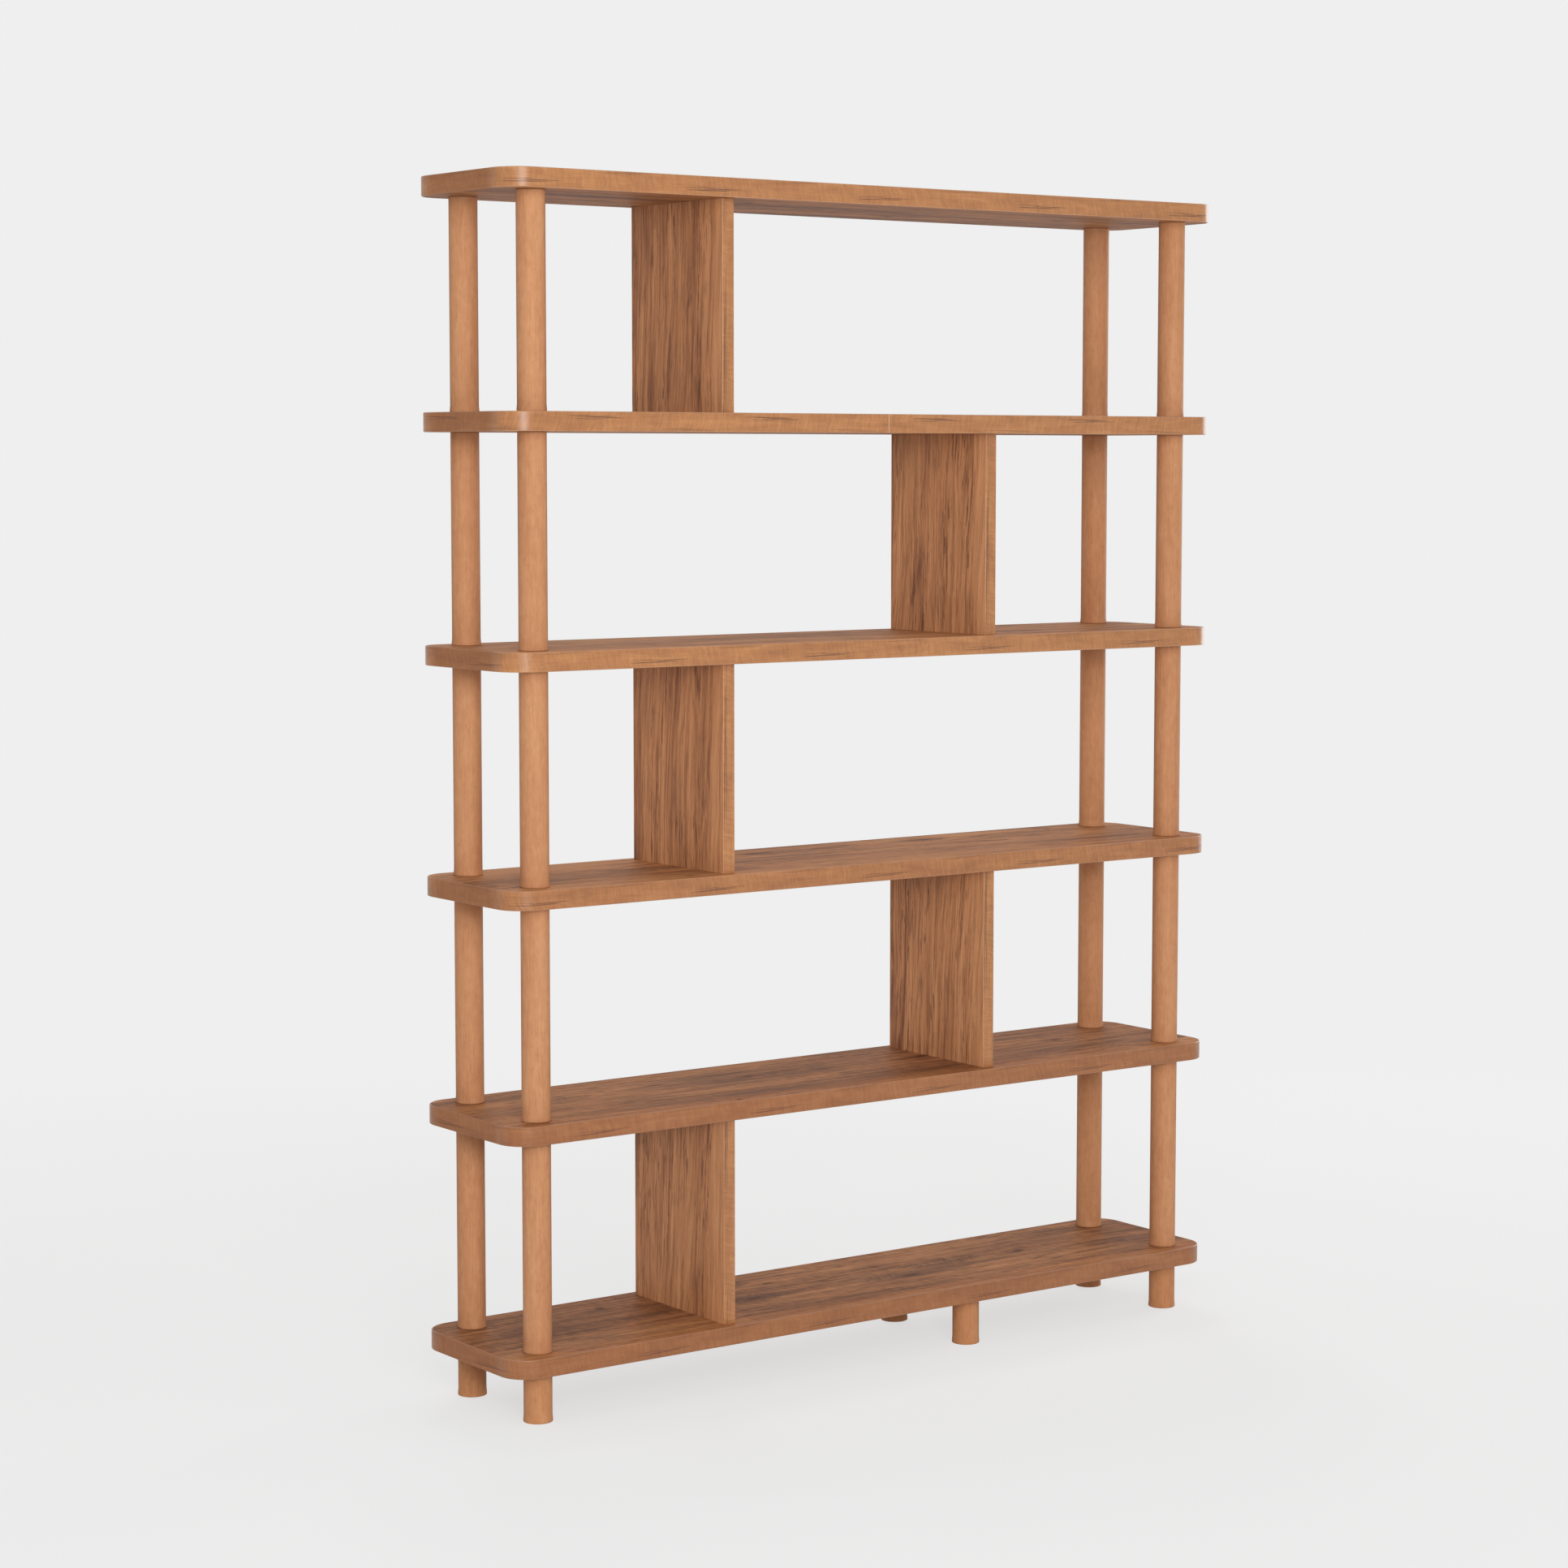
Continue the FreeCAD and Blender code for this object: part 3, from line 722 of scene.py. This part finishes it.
def makeShelfBand(level, finish):
    size = shelfBand
    node = f"shelf_edge_{level}"
    low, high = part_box(node)
    width = size["jointWidth"]
    atFront = level == size["frontJointLevel"]
    path = roundedPath(high.x - low.x, high.y - low.y, size["cornerRadius"], size["cornerSteps"],
                       (-width, 0.0, width) if atFront else ())
    if not atFront:  # the strip's ends meet behind
        start, end = path[0], path[-1]
        path.insert(1, (-width, *start[1:4], start[4] + width))
        path.insert(-1, (width, *end[1:4], end[4] - width))
    rows = bandProfile(high.z - low.z)
    jointWay = 0.0 if atFront else path[0][4]
    joints = [float(abs(abs(point[4]) - abs(jointWay)) < width / 4) for point in path]  # 1 at the joint

    points, around, many = [], len(path) - 1, len(rows)
    for (x, y, outX, outY, _), joint in zip(path[:-1], joints):
        for out, up, _, _ in rows:
            if out > -size["thickness"]:  # a fine groove where the ends meet
                out -= joint * size["jointDepth"]
            points.append((x + out * outX, y + out * outY, low.z + up))
    faces, grain, edge = [], [], []
    for index in range(around):
        for row in range(many):
            following = (row + 1) % many
            square = [(index, row), (index + 1, row), (index + 1, following), (index, following)]
            faces.append([(place % around) * many + step for place, step in square])
            for place, step in square:
                _, _, rim, climb = rows[step]
                up = high.z - low.z - climb if atFront else climb  # the print is upside down there
                grain.append((path[place][4], up, level))
                edge.append((rim, joints[place], 0.0))
    piece = makePiece(f"shelf_band_{level}", "bookcase", points, faces, [finish], grain, edge)
    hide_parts(node)
    return piece


panelSize = {
    "easing": 0.0008,
    "easingSteps": 5,
    "endInset": 0.0003,
    "endRise": 0.0004,
    "flatFrom": 0.99,
    "frontStrips": 10,
    "backStrips": 15,
    "seed": 400,
}
# how far apart in the wood a divider's left face, right face and ends are cut
panelCuts = {"left": 0.0, "right": 3.0, "ends": 7.0}


def makePanel(bay, faceFinish, edgeFinish):
    # the divider's own outline runs once round and is drawn upwards
    node = f"divider_{bay}"
    low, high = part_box(node)
    middle = (low + high) / 2
    draw = random.Random(panelSize["seed"] + bay)
    cut = Vector((bay, draw.uniform(0, 9), draw.uniform(0, 9)))
    path = roundedPath(high.x - low.x, high.y - low.y, panelSize["easing"], panelSize["easingSteps"])[:-1]
    inset, climb = panelSize["endInset"], panelSize["endRise"]
    rows = [(low.z, inset), (low.z + climb, 0.0), (high.z - climb, 0.0), (high.z, inset)]
    points, faces, grain, edge, kinds = [], [], [], [], []
    for height, inwards in rows:
        for x, y, outX, outY, _ in path:
            points.append((middle.x + x - inwards * outX, middle.y + y - inwards * outY, height))
    many = len(path)
    for row in range(len(rows) - 1):
        for index in range(many):
            following = (index + 1) % many
            one, two = row * many, (row + 1) * many
            square = [one + index, one + following, two + following, two + index]
            faces.append(square)
            flat = min(abs(path[index][2]), abs(path[following][2])) > panelSize["flatFrom"]
            kinds.append(0 if flat else 1)
            side = panelCuts["right" if path[index][2] > 0 else "left"]
            for vertex in square:
                point = Vector(points[vertex])
                _, _, outX, outY, _ = path[vertex % many]
                if flat:
                    grain.append((cut.x + side, point.y + cut.y, point.z + cut.z))
                else:
                    strip = bay + panelSize["backStrips" if point.y > 0 else "frontStrips"]
                    grain.append((point.z, point.x - low.x, strip))
                # rim: how much of the painted highlight lies on the rounded corners
                rim = min(1.0, 2 * abs(outX * outY))
                edge.append((rim, 0.0, (point.y - low.y) / (high.y - low.y)))
    top = (len(rows) - 1) * many
    for ring in (list(reversed(range(many))), [top + index for index in range(many)]):
        faces.append(ring)
        kinds.append(0)
        for vertex in ring:
            point = Vector(points[vertex])
            grain.append((cut.x + panelCuts["ends"], point.y + cut.y, point.x + cut.z))
            edge.append((0.0, 0.0, 0.0))
    finishes = [faceFinish, edgeFinish]
    piece = makePiece(f"divider_panel_{bay}", "bookcase", points, faces, finishes, grain, edge, kinds)
    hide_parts(node)
    return piece


turning = {
    "sides": 72,
    "easing": 0.001,
    "easingSteps": 4,
    "waist": 0.0006,
    "flare": 0.009,
    "flareSteps": 6,
    "studHole": 0.004,
    "studGrip": 0.025,
    "insertHole": 0.00605,
    "insertDepth": 0.022,
    "postSeed": 10,
    "footSeed": 90,
}


def easedEdge(radius, height, side):
    # a quarter round, climbing outwards below the side or inwards above it
    easing, steps = turning["easing"], turning["easingSteps"]
    rows = []
    for step in range(steps + 1):
        angle = math.pi / 2 * (step / steps if side < 0 else 1 - step / steps)
        out = radius - easing + easing * math.sin(angle)
        rows.append((out, height - side * easing + side * easing * math.cos(angle), math.sin(2 * angle)))
    return rows


def turnedProfile(radius, height, hollowFoot):
    # radius, height and rim from the hole in the foot, up the side, to the hole in the head
    size = turning
    rows = [(0.0, 0.0, 0)]
    if hollowFoot:
        wide, deep = size["insertHole"], size["insertDepth"]
        rows = [(0.0, deep, 0), (wide, deep, 0), (wide, 0.0, 0)]
    rows += easedEdge(radius, 0.0, -1)
    for step in range(1, size["flareSteps"] + 1):
        share = step / size["flareSteps"]
        slimmer = size["waist"] * share * share * (3 - 2 * share)
        rows.append((radius - slimmer, size["easing"] + size["flare"] * share, 0))
    rows += easedEdge(radius - size["waist"], height, 1)
    hole, grip = size["studHole"], height - size["studGrip"]
    return rows + [(hole, height, 0), (hole, grip, 0), (0.0, grip, 0)]


def makeTurned(name, node, body, finish, hollowFoot, seed):
    low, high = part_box(node)
    centre = (low + high) / 2
    draw = random.Random(seed)
    cut = Vector((draw.uniform(-3, 3), draw.uniform(-3, 3), draw.uniform(-3, 3)))
    spin = draw.uniform(0, 2 * math.pi)
    rows = turnedProfile((high.x - low.x) / 2, high.z - low.z, hollowFoot)
    sides = turning["sides"]
    points, starts, rims = [], [], []
    for radius, up, rim in rows:
        starts.append(len(points))
        for step in range(1 if radius == 0 else sides):
            angle = 2 * math.pi * step / sides
            x, y = centre.x + radius * math.cos(angle), centre.y + radius * math.sin(angle)
            points.append((x, y, low.z + up))
            rims.append(rim)
    faces = []
    for row in range(len(rows) - 1):
        one, two = starts[row], starts[row + 1]
        for step in range(sides):
            following = (step + 1) % sides
            if rows[row][0] == 0:
                faces.append([one, two + following, two + step])
            elif rows[row + 1][0] == 0:
                faces.append([one + step, one + following, two])
            else:
                faces.append([one + step, one + following, two + following, two + step])
    grain, edge = [], []
    for face in faces:
        for vertex in face:
            x, y = points[vertex][0] - centre.x, points[vertex][1] - centre.y
            turnedX = x * math.cos(spin) - y * math.sin(spin)
            turnedY = x * math.sin(spin) + y * math.cos(spin)
            grain.append((turnedX + cut.x, turnedY + cut.y, points[vertex][2] - low.z + cut.z))
            edge.append((rims[vertex], 0.0, 0.0))
    piece = makePiece(name, body, points, faces, [finish], grain, edge)
    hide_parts(node)
    return piece


thread = {
    "radius": 0.004,
    "pitch": 0.00125,
    "depth": 0.00072,
    "flank": 1.35,
    "chamfer": 0.001,
    "sides": 24,
    "turnSteps": 6,
}


def addRod(points, faces, centre, low, high):
    # one thread runs up the rod: the radius follows the height and the angle together
    size = thread
    radius, sides, length = size["radius"], size["sides"], high - low
    rings = round(length / size["pitch"] * size["turnSteps"])
    start = len(points)
    for ring in range(rings + 1):
        up = length * ring / rings
        cone = radius - size["chamfer"] + min(up, length - up)
        for side in range(sides):
            angle = 2 * math.pi * side / sides
            phase = (up / size["pitch"] - side / sides) % 1.0
            valley = min(1.0, max(0.0, 0.5 + size["flank"] * (abs(2 * phase - 1) - 0.5)))
            out = min(cone, radius - size["depth"] * valley)
            points.append((centre[0] + out * math.cos(angle), centre[1] + out * math.sin(angle), low + up))
    for ring in range(rings):
        one, two = start + ring * sides, start + (ring + 1) * sides
        for side in range(sides):
            following = (side + 1) % sides
            faces.append([one + side, one + following, two + following, two + side])
    faces.append([start + side for side in reversed(range(sides))])
    faces.append([start + rings * sides + side for side in range(sides)])


def makeStuds(name, node, body, finish):
    # a node holds one stud, or four at the corners of its box
    low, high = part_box(node)
    radius = thread["radius"]
    centres = {(x, y) for x in (low.x + radius, high.x - radius) for y in (low.y + radius, high.y - radius)}
    if high.x - low.x < 3 * radius:
        centres = {((low.x + high.x) / 2, (low.y + high.y) / 2)}
    points, faces = [], []
    for centre in sorted(centres):
        addRod(points, faces, centre, low.z, high.z)
    blank = [(0.0, 0.0, 0.0)] * sum(len(face) for face in faces)
    piece = makePiece(name, body, points, faces, [finish], blank, blank)
    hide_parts(node)
    return piece


for level in levels:
    putOn(f"shelf_board_{level}", boardPrint(level))
print("bookshelf: six boards printed")

bandFinish = bandPrint("shelfBandPrint", shelfCracks)
for level in levels:
    makeShelfBand(level, bandFinish)
print("bookshelf: edge bands wrapped")

panelFinish = panelPrint()
panelEdgeFinish = bandPrint("panelBandPrint", panelCracks)
for bay in bays:
    makePanel(bay, panelFinish, panelEdgeFinish)
print("bookshelf: dividers stood")

postFinish = turnedWood("postBeech", postLook)
for bay in bays:
    for number, place in enumerate(corners):
        seed = turning["postSeed"] * bay + number
        makeTurned(f"turned_post_{bay}_{place}", f"post_{bay}_{place}", "bookcase", postFinish,
                   True, seed)
footFinish = turnedWood("footBeech", footLook)
studFinish = metalFinish("blackenedSteel", studLook)
for number, place in enumerate(footPlaces):
    body = f"foot_{place}"
    seed = turning["footSeed"] + number
    makeTurned(f"turned_foot_{place}", f"foot_{place}", body, footFinish, False, seed)
    makeStuds(f"foot_thread_{place}", f"foot_stud_{place}", body, studFinish)
print("bookshelf: posts and feet turned")

for bay in bays:
    makeStuds(f"post_threads_{bay}", f"post_studs_{bay}", "bookcase", studFinish)
zincFinish = metalFinish("insertZinc", zincLook)
putOn("post_inserts", zincFinish)
putOn("shelf_inserts", zincFinish)
beechFinish = dowelFinish()
putOn("dowels_left", beechFinish)
putOn("dowels_right", beechFinish)
print("bookshelf: fastenings finished")

studio = {
    "background": 0.863,
    "fill": 0.49,
    "floorColour": 0.88,
    "floorRoughness": 0.9,
    "floorGloss": 0.1,
    "floorSize": 14.0,
    "mergeNear": 0.74,
    "mergeFrom": 1.2,
    "mergeTo": 3.0,
    "aim": (0.0, 0.0, 0.8),
}
lamps = {
    "key": {"power": 118.0, "place": (-3.3, -4.9, 2.9), "size": (2.4, 2.4), "mirrored": False},
    "strip": {"power": 86.0, "place": (-2.0, -4.6, 1.60), "size": (1.9, 0.8), "mirrored": True},
    "rim": {"power": 42.0, "place": (4.2, 0.7, 1.5), "size": (1.6, 2.4), "mirrored": True},
    "back": {"power": 60.0, "place": (1.9, 3.6, 3.2), "size": (2.0, 1.6), "mirrored": False},
}
cameraView = {"place": (-2.888, -3.872, 1.219), "yaw": 35.9, "pitch": 5.2, "lens": 82.0, "sensor": 36.0}


def seenDirectly(tree):
    # 1 for the rays that show a backdrop instead of being lit by it
    rays = addNode(tree, "LightPath").outputs
    seen = calc(tree, "MAXIMUM", rays["Is Camera Ray"], rays["Is Glossy Ray"])
    return calc(tree, "MAXIMUM", seen, rays["Is Transmission Ray"])


def mixShaders(tree, share, first, second, socket):
    mixed = addNode(tree, "MixShader", Fac=share)
    tree.links.new(first.outputs[0], mixed.inputs[1])
    tree.links.new(second.outputs[0], mixed.inputs[2])
    tree.links.new(mixed.outputs[0], socket)


def makeWorld():
    world = bpy.data.worlds.new("studio")
    bpy.context.scene.world = world
    world.use_nodes = True
    tree = world.node_tree
    tree.nodes.clear()
    grey = studio["background"]
    lit = addNode(tree, "Background", Color=(1.0, 1.0, 1.0, 1.0), Strength=studio["fill"])
    shown = addNode(tree, "Background", Color=(grey, grey, grey, 1.0), Strength=1.0)
    ending = addNode(tree, "OutputWorld")
    mixShaders(tree, seenDirectly(tree), lit, shown, ending.inputs["Surface"])


def makeFloor():
    half = studio["floorSize"] / 2
    mesh = bpy.data.meshes.new("studio_floor")
    outline = [(-half, -half, 0), (half, -half, 0), (half, half, 0), (-half, half, 0)]
    mesh.from_pydata(outline, [], [(0, 1, 2, 3)])
    floor = bpy.data.objects.new("studio_floor", mesh)
    bpy.context.scene.collection.objects.link(floor)
    finish, tree, shader = newFinish("studioFloor", studio["floorGloss"])
    colour, grey = studio["floorColour"], studio["background"]
    shader.inputs["Base Color"].default_value = (colour, colour, colour, 1.0)
    shader.inputs["Roughness"].default_value = studio["floorRoughness"]
    # the floor keeps part of the shadow close by and runs into the background far off
    x, y, _ = split(tree, objectPlace(tree))
    away = calc(tree, "SQRT", squares(tree, x, y))
    near = studio["mergeNear"]
    merge = total(tree, near, (rise(tree, away, studio["mergeFrom"], studio["mergeTo"]), 1 - near))
    share = times(tree, seenDirectly(tree), merge)
    plain = addNode(tree, "Emission", Color=(grey, grey, grey, 1.0), Strength=1.0)
    ending = next(item for item in tree.nodes if item.type == "OUTPUT_MATERIAL")
    mixShaders(tree, share, shader, plain, ending.inputs["Surface"])
    mesh.materials.append(finish)
    for place in footPlaces:  # the floor stays under the lowest foot
        under = floor.constraints.new("FLOOR")
        under.target = frame["bodies"][f"foot_{place}"]
        under.floor_location = "FLOOR_NEGATIVE_Z"


def makeLamp(name):
    setting = lamps[name]
    lamp = bpy.data.lights.new(name, "AREA")
    lamp.shape = "RECTANGLE"
    lamp.size, lamp.size_y = setting["size"]
    lamp.energy = setting["power"]
    made = bpy.data.objects.new(name, lamp)
    made.location = setting["place"]
    toAim = Vector(studio["aim"]) - Vector(setting["place"])
    made.rotation_euler = toAim.to_track_quat("-Z", "Y").to_euler()
    made.visible_glossy = setting["mirrored"]
    bpy.context.scene.collection.objects.link(made)


def makeCamera():
    view = cameraView
    lens = bpy.data.cameras.new("camera")
    lens.lens = view["lens"]
    lens.sensor_width = view["sensor"]
    made = bpy.data.objects.new("camera", lens)
    made.location = view["place"]
    made.rotation_euler = (math.radians(90 - view["pitch"]), 0.0, math.radians(-view["yaw"]))
    bpy.context.scene.collection.objects.link(made)
    bpy.context.scene.camera = made


makeWorld()
makeFloor()
for name in lamps:
    makeLamp(name)
makeCamera()
bpy.context.scene.view_settings.view_transform = "Standard"
print("bookshelf: studio set")
